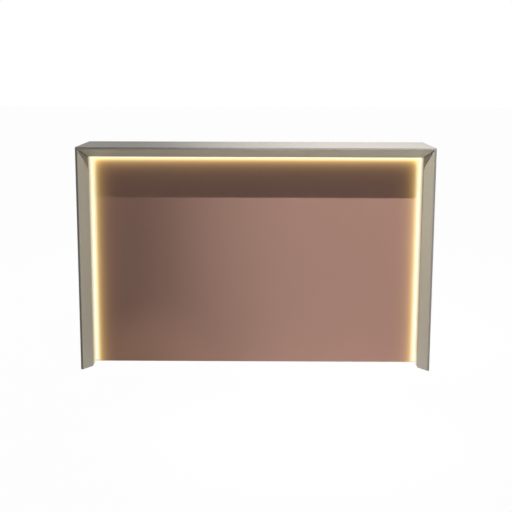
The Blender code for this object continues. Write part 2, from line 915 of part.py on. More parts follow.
def make_inlet(x, face, z):
    """The snap-in inlet: a body, a flange on the case, a socket below and a switch pocket above."""
    inlet = board(
        "power_inlet",
        (x - INLET_W / 2, face - INLET_BODY, z - INLET_H / 2),
        (x + INLET_W / 2, face + INLET_FLANGE_T, z + INLET_H / 2),
        "black_plastic",
        edges=0,
    )
    flange = box_cutter(
        "inlet_flange",
        (x - INLET_W / 2 - INLET_FLANGE, face, z - INLET_H / 2 - INLET_FLANGE),
        (x + INLET_W / 2 + INLET_FLANGE, face + INLET_FLANGE_T, z + INLET_H / 2 + INLET_FLANGE),
    )
    cut(inlet, flange, "UNION")
    mouth = face + INLET_FLANGE_T
    socket_z = z - SOCKET_FALL
    frame = axes((1, 0, 0), (0, 0, 1), (0, 1, 0), at(x, 0, socket_z))
    floor = mouth - SOCKET_DEPTH
    bm = prism("inlet_socket", socket_outline(), floor, mouth + CUT_PAST, frame)
    cut(inlet, helper_object("inlet_socket", mesh_from("inlet_socket", bm), (0, 0, 0)))
    for index, (step, raised) in enumerate(((-1, 0), (0, 1), (1, 0))):
        pin_x, pin_z = x + raised * PIN_RAISE, socket_z + step * PIN_PITCH
        pin = box_cutter(
            f"inlet_pin_{index}",
            (pin_x - PIN_W / 2, floor - PIN_ROOT, pin_z - PIN_H / 2),
            (pin_x + PIN_W / 2, floor + PIN_L, pin_z + PIN_H / 2),
        )
        cut(inlet, pin, "UNION")
    rocker_z = z + ROCKER_RISE
    sweep = math.hypot(ROCKER_TIP, ROCKER_HALF) + TURN_GAP
    pocket = box_cutter(
        "rocker_pocket",
        (x - ROCKER_W / 2 - TURN_GAP, mouth - ROCKER_POCKET, rocker_z - sweep),
        (x + ROCKER_W / 2 + TURN_GAP, mouth + CUT_PAST, rocker_z + sweep),
    )
    cut(inlet, pocket)
    frame = axes((0, 1, 0), (0, 0, 1), (1, 0, 0), (0, 0, 0))
    bm = prism("rocker_switch", rocker_outline(), -ROCKER_W / 2, ROCKER_W / 2, frame)
    add_part(
        "rocker_switch",
        mesh_from("rocker_switch", bm),
        "black_plastic",
        at(x, mouth - ROCKER_PIVOT, rocker_z),
        rotation=(ROCKER_THROW / 2, 0, 0),
    )


def rounded_path(corners, bend, steps):
    """Points along straight runs between the corners, with every corner turned on the same bend radius."""
    path = [corners[0]]
    for before, corner, after in zip(corners, corners[1:], corners[2:]):
        back = (before - corner).normalized()
        ahead = (after - corner).normalized()
        half = back.angle(ahead) / 2
        centre = corner + (back + ahead).normalized() * bend / math.sin(half)
        first = (corner + back * bend / math.tan(half) - centre).normalized()
        last = (corner + ahead * bend / math.tan(half) - centre).normalized()
        path += [centre + first.slerp(last, i / steps) * bend for i in range(steps + 1)]
    path.append(corners[-1])
    return path


def lead_corners():
    """Out of the driver, down beside the gable, forward above the floor and across into the light strip."""
    low, high = driver_box()
    run_x = GABLE_IN_X - LEAD_R - JOINT_GAP
    exit_z = (low[2] + high[2]) / 2
    strip_x = INNER_X - LEAD_U
    return [
        at(run_x, DRIVER_D - JOINT_GAP, exit_z),
        at(run_x, DRIVER_D - LEAD_DROP, exit_z),
        at(run_x, DRIVER_D - LEAD_DROP, LEAD_Z),
        at(run_x, GABLE_D - LEAD_JOG, LEAD_Z),
        at(strip_x, PANEL_BACK + LEAD_JOG, LEAD_Z),
        at(strip_x, PANEL_SETBACK - LEAD_TIP, LEAD_Z),
    ]


def make_lead(panel, profile):
    """The lead lies against the gable and passes through the panel and the light profile's leg."""
    curve = bpy.data.curves.new("led_lead", "CURVE")
    curve.dimensions = "3D"
    curve.bevel_depth = LEAD_R
    curve.bevel_resolution = 2
    curve.use_fill_caps = True
    path = rounded_path(lead_corners(), LEAD_BEND, LEAD_BEND_STEPS)
    spline = curve.splines.new("POLY")
    spline.points.add(len(path) - 1)
    for point, place in zip(spline.points, path):
        point.co = (*place, 1)
    add_part("led_lead", curve, "cable_sheath")
    strip_x = INNER_X - LEAD_U
    hole = round_cutter(
        "lead_hole",
        at(strip_x, PANEL_SETBACK + PANEL_T / 2, LEAD_Z),
        (0, 1, 0),
        LEAD_HOLE_R,
        PANEL_T + 2 * (LED_WALL + CUT_PAST),
        steps=16,
    )
    cut(panel, hole)
    cut(profile, hole)


# Levelling feet


def make_foot(name, x, d, holder):
    """A glide on a threaded stem, turned in one piece, and the bore that its stem screws into."""
    top = FOOT_DISC_T + FOOT_STEM_L
    profile = [
        (0, top),
        (FOOT_STEM_R, top),
        (FOOT_STEM_R, FOOT_DISC_T),
        (FOOT_R - FOOT_CHAMFER, FOOT_DISC_T),
        (FOOT_R, FOOT_DISC_T - FOOT_CHAMFER),
        (FOOT_R, FOOT_CHAMFER),
        (FOOT_R - FOOT_CHAMFER, 0),
        (0, 0),
    ]
    turned_part(name, profile, "nylon", at(x, d, 0), steps=FOOT_STEPS)
    bore = round_cutter(
        f"{name}_bore",
        at(x, d, FLOOR_GAP + (FOOT_BORE_DEPTH - CUT_PAST) / 2),
        (0, 0, 1),
        FOOT_STEM_R + TURN_GAP,
        FOOT_BORE_DEPTH + CUT_PAST,
        steps=FOOT_STEPS,
    )
    cut(holder, bore)


def make_feet(uprights, gables):
    for side, word in ((-1, "left"), (1, "right")):
        core = uprights[word]["core"]
        x = side * CORE_MID_X
        make_foot(f"front_{word}_foot", x, FOOT_FRONT_D, core)
        make_foot(f"middle_{word}_foot", x, PORTAL_DEPTH - FOOT_REAR_INSET, core)
        gable_x = side * (GABLE_IN_X + GABLE_OUT_X) / 2
        make_foot(f"rear_{word}_foot", gable_x, GABLE_REAR - GABLE_FOOT_INSET, gables[word])


clear_scene()
PARTS = new_collection("reception_desk")
CUTTERS = new_collection("cutters")
MATERIALS = {name: make_material(name) for name in COLOURS}
ROOT = make_empty("desk", (0, 0, 0))

uprights = {word: make_upright(side, word) for side, word in ((-1, "left"), (1, "right"))}
make_counter()
front_panel = make_front_panel()
lights = make_lights()
worktop, gables = make_desk()
make_cable_tray()
make_grommet(worktop)
make_pedestal()
make_drawers()
make_power_unit()
make_lead(front_panel, lights["right_led_profile"])
make_feet(uprights, gables)
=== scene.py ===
"""Looks of the reception desk: finishes, smooth details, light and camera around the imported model.

Metres, +Z up, in the model's own frame: visitors stand on the -Y side and staff sit on the +Y side.
"""

import math

import bmesh
import bpy
from mathutils import Matrix, Vector


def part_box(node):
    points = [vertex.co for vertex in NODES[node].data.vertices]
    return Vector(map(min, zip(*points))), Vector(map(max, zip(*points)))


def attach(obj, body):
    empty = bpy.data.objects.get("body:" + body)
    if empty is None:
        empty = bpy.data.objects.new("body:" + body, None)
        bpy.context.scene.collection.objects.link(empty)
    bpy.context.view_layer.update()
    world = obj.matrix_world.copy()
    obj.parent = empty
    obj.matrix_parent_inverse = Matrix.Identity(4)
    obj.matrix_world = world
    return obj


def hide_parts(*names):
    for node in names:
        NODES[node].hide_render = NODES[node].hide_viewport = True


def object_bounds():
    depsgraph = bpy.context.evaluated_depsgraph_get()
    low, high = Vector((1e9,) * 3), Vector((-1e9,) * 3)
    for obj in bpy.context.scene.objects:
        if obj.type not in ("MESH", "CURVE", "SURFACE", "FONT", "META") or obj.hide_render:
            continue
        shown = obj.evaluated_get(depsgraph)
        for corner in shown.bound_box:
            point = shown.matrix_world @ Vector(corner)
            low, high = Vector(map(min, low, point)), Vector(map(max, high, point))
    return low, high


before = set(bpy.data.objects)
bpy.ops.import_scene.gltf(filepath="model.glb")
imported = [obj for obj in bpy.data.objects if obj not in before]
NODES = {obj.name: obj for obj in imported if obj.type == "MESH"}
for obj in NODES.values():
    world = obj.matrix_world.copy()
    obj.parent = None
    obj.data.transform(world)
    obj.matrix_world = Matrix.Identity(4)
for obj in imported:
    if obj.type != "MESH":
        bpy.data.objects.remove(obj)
CAD_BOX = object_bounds()

X = Vector((1, 0, 0))
Y = Vector((0, 1, 0))
Z = Vector((0, 0, 1))

# Camera, set so that the desk's corners fall where the photograph has them
CAMERA_PLACE = (0.023, -5.442, 1.520)
CAMERA_PITCH = math.radians(10.307)
CAMERA_TURN = math.radians(0.226)
CAMERA_ROLL = math.radians(0.188)
CAMERA_LENS = 71.12
CAMERA_SENSOR = 36.0

# Colours of the lamps
WHITE = (1, 1, 1)
WARM = (1, 0.98, 0.95)
PALE_YELLOW = (1, 0.98, 0.70)

# Light: a key, a fill beside it, a soft lamp behind and one that lights the floor in front
KEY_PLACE = (1.30, -4.40, 7.58)
KEY_AIM = (0.58, -0.24, 1.12)
KEY_POWER = 2800.0
KEY_BEAM = math.radians(17.0)
KEY_RADIUS = 0.06
FILL_AIM = (0.0, -0.24, 0.60)
FILL_POWER = 740.0
FILL_BEAM = math.radians(46.0)
REAR_PLACE = (0.20, 3.20, 2.20)
REAR_AIM = (0.00, 0.20, 0.60)
REAR_POWER = 40.0
REAR_SIZE = 1.6
BOUNCE_PLACE = (0.22, -1.35, 3.6)
BOUNCE_POWER = 505.0
BOUNCE_BEAM = math.radians(28.0)
BOUNCE_RADIUS = 0.30

# Lamps for single boards: place, aim, power, beam in degrees, colour and the board
BOARD_LAMPS = {
    "left_fascia_lamp": (KEY_PLACE, (-0.87, -0.37, 0.60), 2300.0, 40.0, WARM, "left_bevel_fascia"),
    "right_fascia_lamp": (KEY_PLACE, (0.87, -0.37, 1.22), 4200.0, 11.2, WARM, "right_bevel_fascia"),
    "top_fascia_lamp": ((1.10, -3.00, 0.05), (0.10, -0.37, 1.12), 144.0, 80.0, WARM, "top_bevel_fascia"),
    "top_lamp": ((0.55, -0.20, 4.00), (0.54, -0.20, 1.15), 66.0, 20.0, WHITE, "top_board"),
    "floor_glow": ((-0.65, -1.25, 0.12), (-0.52, -0.24, -0.02), 7.8, 42.0, PALE_YELLOW, "front_panel"),
}

# Light of the room: its level all round, then lobes, each with a direction, how narrow it is and a colour
ROOM_BASE = (0.010, 0.010, 0.010)
ROOM_LOBES = {
    "left side": ((-0.96, 0.25, 0.12), 6.0, (0.80, 0.80, 0.80)),
    "right side": ((0.96, 0.25, 0.12), 6.0, (0.80, 0.80, 0.80)),
    "right edge": ((0.985, -0.09, 0.15), 120.0, (4.5, 4.5, 4.5)),
    "rear": ((0.0, 0.90, 0.30), 2.0, (0.25, 0.25, 0.25)),
}

# Floor: its grey, the share of it that shows the camera plain white, and half its width
FLOOR_WHITE = 0.90
FLOOR_CLEAR = 0.980
FLOOR_HALF = 40.0

# Finishes: linear colours, and layers as the drift of a colour, the scales of its clouds and flecks, the
# range of roughness, and the scale and depth of the relief
TAUPE = (0.400, 0.372, 0.342)
LACQUER_LAYERS = (0.020, 1.6, 520.0, (0.66, 0.74), 260.0, 0.000012)
LACQUER_GLOSS = {"specular": 0.30}
EDGE_SHADE = 0.70
BEVEL_TAUPE = (0.390, 0.362, 0.290)
BEVEL_LAYERS = (0.020, 1.6, 520.0, (0.36, 0.44), 260.0, 0.000012)
BEVEL_GLOSS = {"specular": 0.90}
ROSE = (0.345, 0.200, 0.158)
ROSE_LAYERS = (0.022, 1.3, 640.0, (0.44, 0.52), 520.0, 0.000010)
ROSE_GLOSS = {"specular": 0.26}
FLECK_SHARE = 0.35

# Gloss of the other finishes
MATT = {"specular": 0.25}
SATIN = {"specular": 0.35}
SOFT = {"specular": 0.40}
PLASTIC = {"specular": 0.45}
METAL = {"metallic": 1.0}
DULL_METAL = {"metallic": 0.6}

# Light covers' own light: shares of the way round from the front panel to the board beside it, and colours
LED_STRENGTH = 1.0
LED_GLOW = (
    (0.00, (0.760, 0.540, 0.240)),
    (0.30, (0.840, 0.660, 0.350)),
    (0.50, (0.900, 0.830, 0.500)),
    (0.75, (0.930, 0.920, 0.690)),
    (1.00, (0.880, 0.840, 0.640)),
)

# Painted glow of the light covers, emitted by the front panel and by the boards beside it: the lengths that
# it fades over, each with its colour at the edge of a cover
SIDE_GLOW = ((0.007, (0.216, 0.336, 0.263)), (0.022, (0.567, 0.363, 0.075)))
TOP_GLOW = ((0.007, (0.634, 0.643, 0.339)), (0.022, (0.623, 0.388, 0.113)))
BOARD_GLOW = ((0.065, (0.800, 0.700, 0.460)),)

# Painted shade in the grooves at the mitres: half width across the joint, measured level, its soft edge and
# how dark it is painted
SEAM_W = 0.0022
SEAM_FADE = 0.0006
SEAM_SHADE = 0.22

# Softened edges
FASCIA_SOFT_EDGE = 0.0015
MOULDED_SOFT_EDGE = 0.0005
SOFT_EDGE_ANGLE = math.radians(45)
SOFT_EDGE_SEGMENTS = 2
WELD = 1e-5

# Faces are told by their direction, with the least cosine to it, and the inlet's pins by their place: how
# deep they lie in the socket, how far to each side of its middle, and how far below it
FACING = 0.9
BOARD_FACING = 0.5
PIN_DEPTHS = (0.0030, 0.0149)
PIN_HALF_SPAN = 0.0055
PIN_DROP = 0.0110
PIN_HALF_RISE = 0.0095

# Light covers: quarter-round shells between the tips of the profile's legs
COVER_R = 0.0162
COVER_T = 0.0015
COVER_STEPS = 24

# Drawer pulls, with the collar's shape in shares of its radius and thickness
PULL_R = 0.005
PULL_BEND = 0.012
PULL_BEND_STEPS = 14
PULL_SIDES = 28
PULL_COLLAR_R = 0.0085
PULL_COLLAR_T = 0.0030
PULL_COLLAR_SHAPE = ((1.0, 0.0), (1.0, 0.4), (0.93, 0.7), (0.75, 0.92))
PULL_COLLAR_STEPS = 40

# Cable grommet
GROMMET_BORE_R = 0.0275
GROMMET_LEDGE_R = 0.0250
GROMMET_SLEEVE_R = 0.0297
GROMMET_FLANGE_R = 0.0400
GROMMET_FLANGE_T = 0.0025
GROMMET_SEAT = 0.0020
GROMMET_PLAY = 0.0003
GROMMET_LIP_R = 0.0022
GROMMET_LIP_STEPS = 8
GROMMET_CHAMFER = 0.0004
GROMMET_STEPS = 96
LID_SLOT_W = 0.018
LID_SLOT_L = 0.014
LID_SLOT_CORNER = 0.0035
LID_SOFT_EDGE = 0.0005
LID_RIM = 0.0030
LID_SINK = 0.0006
LID_STEPS = 110
LID_CORNER_STEPS = 8

# Levelling glides
GLIDE_STEPS = 48
GLIDE_SOFT_EDGE = 0.0008
GLIDE_DISC_T = 0.0027
GLIDE_STEM_R = 0.0040
GLIDE_STEM_FOOT = 0.0015
GLIDE_CHAMFER = 0.0004
THREAD_PITCH = 0.00125
THREAD_DEPTH = 0.00065

# Light lead, its boot, whose shape is given as shares of its radius with heights, and its clips
LEAD_R = 0.002
LEAD_DROP = 0.080
LEAD_Z = 0.050
LEAD_JOG = 0.008
LEAD_TIP = 0.0030
LEAD_BEND = 0.030
LEAD_BEND_STEPS = 14
LEAD_SIDES = 20
LEAD_PLAY = 0.0003
BOOT_R = 0.0038
BOOT_L = 0.018
BOOT_SHAPE = ((1.0, 0.0), (1.0, 0.0040), (0.86, 0.0042), (0.86, 0.0062), (0.80, 0.0064), (0.74, 0.0110))
BOOT_PLAY = 0.0002
BOOT_STEPS = 28
CLIP_WALL = 0.0012
CLIP_W = 0.005
CLIP_TAB = 0.0065
CLIP_TAB_T = 0.0022
CLIP_PLAY = 0.0001
CLIP_STEPS = 12
CLIP_DROP_END = 0.08
CLIP_DROP_COUNT = 3
CLIP_RUN_ENDS = (0.06, 0.05)
CLIP_RUN_COUNT = 2
NAIL_HEAD = ((0.0022, 0), (0.0022, 0.0005), (0.0017, 0.0011), (0.0008, 0.0014))
NAIL_STEPS = 20

# Screws: the head's shape in shares of its radius and height, and where they sit
SCREW_R = 0.0036
SCREW_H = 0.0018
SCREW_HEX = 0.0013
SCREW_DOME = ((1.0, 0.0), (1.0, 0.25), (0.94, 0.55), (0.80, 0.82), (0.62, 0.97))
SCREW_SOCKET_FLOOR = 0.35
SCREW_STEPS = 24
SLIDE_WEB = 0.0012
SLIDE_SCREW_END = 0.04
SLIDE_SCREW_COUNT = 4
CLEAT_SCREW_END = 0.05
CLEAT_SCREW_COUNT = 7
CLEAT_SCREW_FREE = (0.69, 0.76)
TRAY_T = 0.0015
TRAY_SCREW_INSET = 0.010
TRAY_SCREW_END = 0.03
TRAY_SCREW_COUNT = 5

# Driver case details
LID_PLATE_INSET = 0.004
LID_PLATE_T = 0.0009
LID_PLATE_CORNER = 0.004
LID_SCREW_INSET = 0.006
LID_SCREW_R = 0.0024
PLATE_SOFT_EDGE = 0.0004
RIB_COUNT = 9
RIB_PITCH = 0.012
RIB_L = 0.034
RIB_W = 0.0036
RIB_T = 0.0014
RIB_END_FLAT = 0.0001
RIB_SOFT_EDGE = 0.0005
EAR_L = 0.022
EAR_REACH = 0.014
EAR_T = 0.0015
EAR_CORNER = 0.003
EAR_FROM_END = 0.030


# Node trees


class Graph:
    """A node tree, with short calls for the nodes that the finishes and the room are made from."""

    def __init__(self, tree):
        self.tree = tree
        self.coordinates = self.node("ShaderNodeTexCoord")

    def node(self, kind, inputs=None, **settings):
        made = self.tree.nodes.new(kind)
        for key, value in settings.items():
            setattr(made, key, value)
        for socket, value in (inputs or {}).items():
            self.feed(made.inputs[socket], value)
        return made

    def feed(self, socket, value):
        if isinstance(value, bpy.types.NodeSocket):
            self.tree.links.new(value, socket)
        else:
            socket.default_value = value

    def math(self, operation, first, second=0.0):
        node = self.node("ShaderNodeMath", {0: first, 1: second}, operation=operation)
        return node.outputs["Value"]

    def mix(self, share, first, second):
        node = self.node("ShaderNodeMix", data_type="RGBA")
        self.feed(node.inputs[0], share)
        self.feed(node.inputs[6], first)
        self.feed(node.inputs[7], second)
        return node.outputs[2]

    def add_light(self, total, colour, amount):
        """A sum of light with one more colour in it, times its amount."""
        part = self.node("ShaderNodeVectorMath", {0: colour, "Scale": amount}, operation="SCALE")
        added = self.node("ShaderNodeVectorMath", {0: total, 1: part.outputs["Vector"]}, operation="ADD")
        return added.outputs["Vector"]


class Paint(Graph):
    """A material around one Principled shader."""

    SOCKETS = {"metallic": "Metallic", "specular": "Specular IOR Level"}

    def __init__(self, name, **gloss):
        self.material = bpy.data.materials.new(name)
        self.material.use_nodes = True
        super().__init__(self.material.node_tree)
        self.shader = self.tree.nodes["Principled BSDF"]
        self.place = self.coordinates.outputs["Object"]
        for word, value in gloss.items():
            self.shader.inputs[self.SOCKETS[word]].default_value = value

    def wear(self, socket, value):
        self.feed(self.shader.inputs[socket], value)

    def stretched(self, scale):
        """Places scaled apart along each axis, for a grain."""
        return self.node("ShaderNodeMapping", {"Vector": self.place, "Scale": scale}).outputs["Vector"]

    def noise(self, scale, detail=2.0, vector=None):
        inputs = {"Vector": vector or self.place, "Scale": scale, "Detail": detail}
        return self.node("ShaderNodeTexNoise", inputs).outputs["Fac"]

    def spread(self, value, low, high, start=0.3, end=0.7):
        """A number from low to high as the value runs from start to end."""
        inputs = {"Value": value, "From Min": start, "From Max": end, "To Min": low, "To Max": high}
        return self.node("ShaderNodeMapRange", inputs).outputs["Result"]

    def tint(self, value, dark, light, start=0.3, end=0.7):
        """A colour from dark to light as the value runs from start to end."""
        ramp = self.node("ShaderNodeValToRGB", {"Fac": value})
        stops = ramp.color_ramp.elements
        stops[0].position, stops[0].color = start, (*dark, 1)
        stops[1].position, stops[1].color = end, (*light, 1)
        return ramp.outputs["Color"]

    def relief(self, height, depth):
        """Bump of this depth, in metres."""
        node = self.node("ShaderNodeBump", {"Height": height, "Distance": depth})
        self.wear("Normal", node.outputs["Normal"])


def shade(colour, factor):
    return tuple(min(1.0, part * factor) for part in colour)


# Finishes


def coat(paint, colour, drift, cloud, fleck, rough, peel, depth):
    """Slow drift and fine flecks of colour over a faint relief. Gives back the colour."""
    slow = paint.tint(paint.noise(cloud, 3.0), shade(colour, 1 - drift), shade(colour, 1 + drift))
    fine = paint.tint(paint.noise(fleck, 1.0), shade(colour, 1 - 2 * drift), shade(colour, 1 + 2 * drift))
    base = paint.mix(FLECK_SHARE, slow, fine)
    paint.wear("Base Color", base)
    paint.wear("Roughness", paint.spread(paint.noise(cloud * 5, 3.0), *rough))
    paint.relief(paint.noise(peel, 2.0), depth)
    return base


def coating(name, colour, layers, gloss):
    """A sprayed, moulded or anodised finish."""
    paint = Paint(name, **gloss)
    coat(paint, colour, *layers)
    return paint.material


def paint_glow(paint, lines, strength=1.0):
    """Paints the glow of the light covers into a surface as emission, given as distances from them and what
    fades over each distance.
    """
    glow = (0, 0, 0)
    for distance, terms in lines:
        clear = paint.math("MAXIMUM", distance, 0.0)
        for reach, colour in terms:
            fade = paint.math("EXPONENT", paint.math("DIVIDE", clear, -reach))
            glow = paint.add_light(glow, colour, fade)
    # Painted light: the surface itself emits the covers' glow, which no lamp casts
    paint.wear("Emission Color", glow)
    paint.wear("Emission Strength", strength)
    paint.material.cycles.emission_sampling = "NONE"


def glow_painted_bronze():
    """The front panel's coating with the glow of the light covers painted on three of its sides as emission.
    """
    paint = Paint("glow_painted_bronze", **ROSE_GLOSS)
    coat(paint, ROSE, *ROSE_LAYERS)
    place = paint.node("ShaderNodeSeparateXYZ", {0: paint.place}).outputs
    lines = (
        (paint.math("SUBTRACT", place["X"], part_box("left_led_diffuser")[1].x), SIDE_GLOW),
        (paint.math("SUBTRACT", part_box("right_led_diffuser")[0].x, place["X"]), SIDE_GLOW),
        (paint.math("SUBTRACT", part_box("top_led_diffuser")[0].z, place["Z"]), TOP_GLOW),
    )
    # Painted glow on the panel beside the three light covers
    paint_glow(paint, lines)
    return paint.material


def glow_painted_lacquer():
    """The frame's lacquer beside the light covers, with the covers' glow painted on as emission in front of
    the panel and plain behind it.
    """
    paint = Paint("glow_painted_lacquer", **LACQUER_GLOSS)
    coat(paint, TAUPE, *LACQUER_LAYERS)
    depth = paint.node("ShaderNodeSeparateXYZ", {0: paint.place}).outputs["Y"]
    ahead = paint.math("SUBTRACT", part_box("top_led_diffuser")[0].y, depth)
    in_front = paint.math("LESS_THAN", depth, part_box("front_panel")[0].y)
    # Painted glow on the boards in front of the panel
    paint_glow(paint, ((ahead, BOARD_GLOW),), in_front)
    return paint.material


def bevel_lacquer():
    """The sloped fascias' lacquer, with painted shade along the grooves where they meet in a mitre at the top
    corners.
    """
    paint = Paint("bevel_lacquer", **BEVEL_GLOSS)
    base = coat(paint, BEVEL_TAUPE, *BEVEL_LAYERS)
    place = paint.node("ShaderNodeSeparateXYZ", {0: paint.place}).outputs
    drop = paint.math("SUBTRACT", CAD_BOX[1].z, place["Z"])
    inset = paint.math("SUBTRACT", CAD_BOX[1].x, paint.math("ABSOLUTE", place["X"]))
    off_mitre = paint.math("ABSOLUTE", paint.math("SUBTRACT", drop, inset))
    # Painted shade: the colour is darkened along the mitre grooves as if they lay in shadow
    groove_shade = paint.spread(off_mitre, 1.0, 0.0, SEAM_W, SEAM_W + SEAM_FADE)
    paint.wear("Base Color", paint.mix(groove_shade, base, (*shade(BEVEL_TAUPE, SEAM_SHADE), 1)))
    return paint.material


def opal_cover():
    """Milky plastic lit from behind, brightest beside the board that the light strip is fixed to."""
    paint = Paint("opal_cover", **SOFT)
    paint.wear("Base Color", paint.tint(paint.noise(90.0), (0.34, 0.33, 0.30), (0.38, 0.37, 0.34)))
    paint.wear("Roughness", paint.spread(paint.noise(240.0), 0.30, 0.42))
    turn = paint.node("ShaderNodeAttribute", attribute_name="arc").outputs["Fac"]
    ramp = paint.node("ShaderNodeValToRGB", {"Fac": turn})
    ramp.color_ramp.interpolation = "EASE"
    while len(ramp.color_ramp.elements) < len(LED_GLOW):
        ramp.color_ramp.elements.new(1.0)
    for stop, (position, colour) in zip(ramp.color_ramp.elements, LED_GLOW):
        stop.position, stop.color = position, (*colour, 1)
    paint.wear("Emission Color", ramp.outputs["Color"])
    paint.wear("Emission Strength", LED_STRENGTH)
    return paint.material


def oak_face(axis):
    """Printed greige oak with its grain along one axis: broad figure, narrow streaks and short pores."""
    paint = Paint(f"greige_oak_{axis}", **SATIN)
    along = {"x": 0, "y": 1, "z": 2}[axis]

    def grain(fine, coarse):
        return paint.stretched(tuple(coarse if i == along else fine for i in range(3)))

    figure = paint.noise(1.0, 4.0, grain(9.0, 0.7))
    streak = paint.noise(1.0, 3.0, grain(110.0, 2.2))
    pore = paint.noise(1.0, 1.0, grain(620.0, 22.0))
    base = paint.tint(figure, (0.40, 0.325, 0.245), (0.50, 0.42, 0.33), 0.35, 0.65)
    base = paint.mix(0.45, base, paint.tint(streak, (0.31, 0.245, 0.180), (0.55, 0.47, 0.38)))
    pores = paint.spread(pore, 0.55, 0.0, 0.30, 0.42)
    paint.wear("Base Color", paint.mix(pores, base, (0.22, 0.165, 0.115, 1)))
    paint.wear("Roughness", paint.spread(streak, 0.44, 0.58))
    paint.relief(pore, 0.00006)
    return paint.material


def oak_edge():
    """Edge band in the same tone, printed with finer, broken lines."""
    paint = Paint("greige_oak_edge", **SATIN)
    streak = paint.noise(1.0, 2.0, paint.stretched((14.0, 14.0, 14.0)))
    fine = paint.noise(260.0, 2.0)
    base = paint.tint(streak, (0.39, 0.315, 0.240), (0.47, 0.39, 0.305))
    lines = paint.tint(fine, (0.30, 0.24, 0.18), (0.52, 0.44, 0.35))
    paint.wear("Base Color", paint.mix(0.25, base, lines))
    paint.wear("Roughness", paint.spread(fine, 0.42, 0.52))
    paint.relief(fine, 0.00003)
    return paint.material


def zinc_plate():
    """Rolled steel with a zinc bloom of pale and dull patches."""
    paint = Paint("zinc_steel", **METAL)
    cells = paint.node("ShaderNodeTexVoronoi", {"Vector": paint.place, "Scale": 160.0}).outputs["Color"]
    paint.wear("Base Color", paint.tint(cells, (0.50, 0.51, 0.53), (0.68, 0.69, 0.71), 0.1, 0.9))
    paint.wear("Roughness", paint.spread(cells, 0.28, 0.42, 0.1, 0.9))
    paint.relief(paint.noise(900.0), 0.000004)
    return paint.material


# Plain finishes: colour, layers and gloss
COATINGS = {
    "taupe_lacquer": (TAUPE, LACQUER_LAYERS, LACQUER_GLOSS),
    "edge_lacquer": (shade(TAUPE, EDGE_SHADE), LACQUER_LAYERS, LACQUER_GLOSS),
    "rose_bronze": (ROSE, ROSE_LAYERS, ROSE_GLOSS),
    "core_board": ((0.50, 0.39, 0.27), (0.050, 24.0, 420.0, (0.72, 0.86), 480.0, 0.00008), MATT),
    "aluminium": ((0.72, 0.72, 0.73), (0.020, 8.0, 900.0, (0.30, 0.38), 1400.0, 0.000003), METAL),
    "light_tape": ((0.88, 0.86, 0.70), (0.030, 60.0, 500.0, (0.45, 0.55), 300.0, 0.00002), SOFT),
    "drawer_board": ((0.66, 0.63, 0.58), (0.016, 5.0, 700.0, (0.48, 0.58), 850.0, 0.000015), SATIN),
    "bronze_metal": ((0.34, 0.245, 0.180), (0.040, 20.0, 1500.0, (0.26, 0.34), 1800.0, 0.000003), METAL),
    "grey_steel": ((0.27, 0.26, 0.245), (0.050, 9.0, 1300.0, (0.50, 0.62), 1100.0, 0.00004), PLASTIC),
    "grey_metal": ((0.33, 0.33, 0.335), (0.030, 12.0, 1100.0, (0.40, 0.50), 1300.0, 0.00001), DULL_METAL),
    "black_plastic": ((0.028, 0.028, 0.030), (0.080, 30.0, 1600.0, (0.42, 0.54), 1900.0, 0.00002), PLASTIC),
    "cable_sheath": ((0.72, 0.71, 0.69), (0.020, 25.0, 900.0, (0.42, 0.52), 700.0, 0.00001), PLASTIC),
    "nylon": ((0.085, 0.085, 0.088), (0.060, 40.0, 1200.0, (0.45, 0.58), 1500.0, 0.00002), SOFT),
    "pin_brass": ((0.75, 0.60, 0.32), (0.030, 90.0, 2400.0, (0.24, 0.32), 2000.0, 0.000002), METAL),
}
FINISHES = {name: coating(name, *layers) for name, layers in COATINGS.items()}
FINISHES |= {
    "glow_painted_lacquer": glow_painted_lacquer(),
    "bevel_lacquer": bevel_lacquer(),
    "glow_painted_bronze": glow_painted_bronze(),
    "opal_cover": opal_cover(),
    "zinc_steel": zinc_plate(),
}

FINISH_BY_ENDING = {
    "outer_panel": "taupe_lacquer",
    "bevel_fascia": "bevel_lacquer",
    "inner_panel": "taupe_lacquer",
    "core_board": "taupe_lacquer",
    "top_board": "taupe_lacquer",
    "soffit_board": "taupe_lacquer",
    "drawer_front": "taupe_lacquer",
    "front_panel": "rose_bronze",
    "panel_cleat": "core_board",
    "led_profile": "aluminium",
    "led_end_cap": "aluminium",
    "led_strip": "light_tape",
    "led_driver": "grey_metal",
    "cable_tray": "grey_steel",
    "power_inlet": "black_plastic",
    "rocker_switch": "black_plastic",
    "pedestal_back": "drawer_board",
    "drawer_box": "drawer_board",
    "_rail": "zinc_steel",
    "_slide": "zinc_steel",
}
OAK_BOARDS = ("worktop", "left_gable", "right_gable", "pedestal_partition", "pedestal_base")

# Faces with a finish of their own: the front faces of the uprights' outer boards, coloured darker, and the
# faces that carry the light covers' painted glow
FACE_FINISHES = {
    "left_outer_panel": ("edge_lacquer", -Y),
    "right_outer_panel": ("edge_lacquer", -Y),
    "left_inner_panel": ("glow_painted_lacquer", X),
    "right_inner_panel": ("glow_painted_lacquer", -X),
    "top_soffit_board": ("glow_painted_lacquer", -Z),
    "front_panel": ("glow_painted_bronze", -Y),
}


def dress_nodes():
    for name, node in NODES.items():
        for ending, finish in FINISH_BY_ENDING.items():
            if name.endswith(ending):
                node.data.materials.clear()
                node.data.materials.append(FINISHES[finish])


def dress_oak():
    """Grain runs the long way of each board, and the narrow sides carry the edge band."""
    faces = {axis: oak_face(axis) for axis in "xyz"}
    edge = oak_edge()
    for name in OAK_BOARDS:
        low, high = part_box(name)
        size = list(high - low)
        thin = size.index(min(size))
        mesh = NODES[name].data
        mesh.materials.clear()
        mesh.materials.append(faces["xyz"[size.index(max(size))]])
        mesh.materials.append(edge)
        for polygon in mesh.polygons:
            polygon.material_index = int(abs(polygon.normal[thin]) < BOARD_FACING)


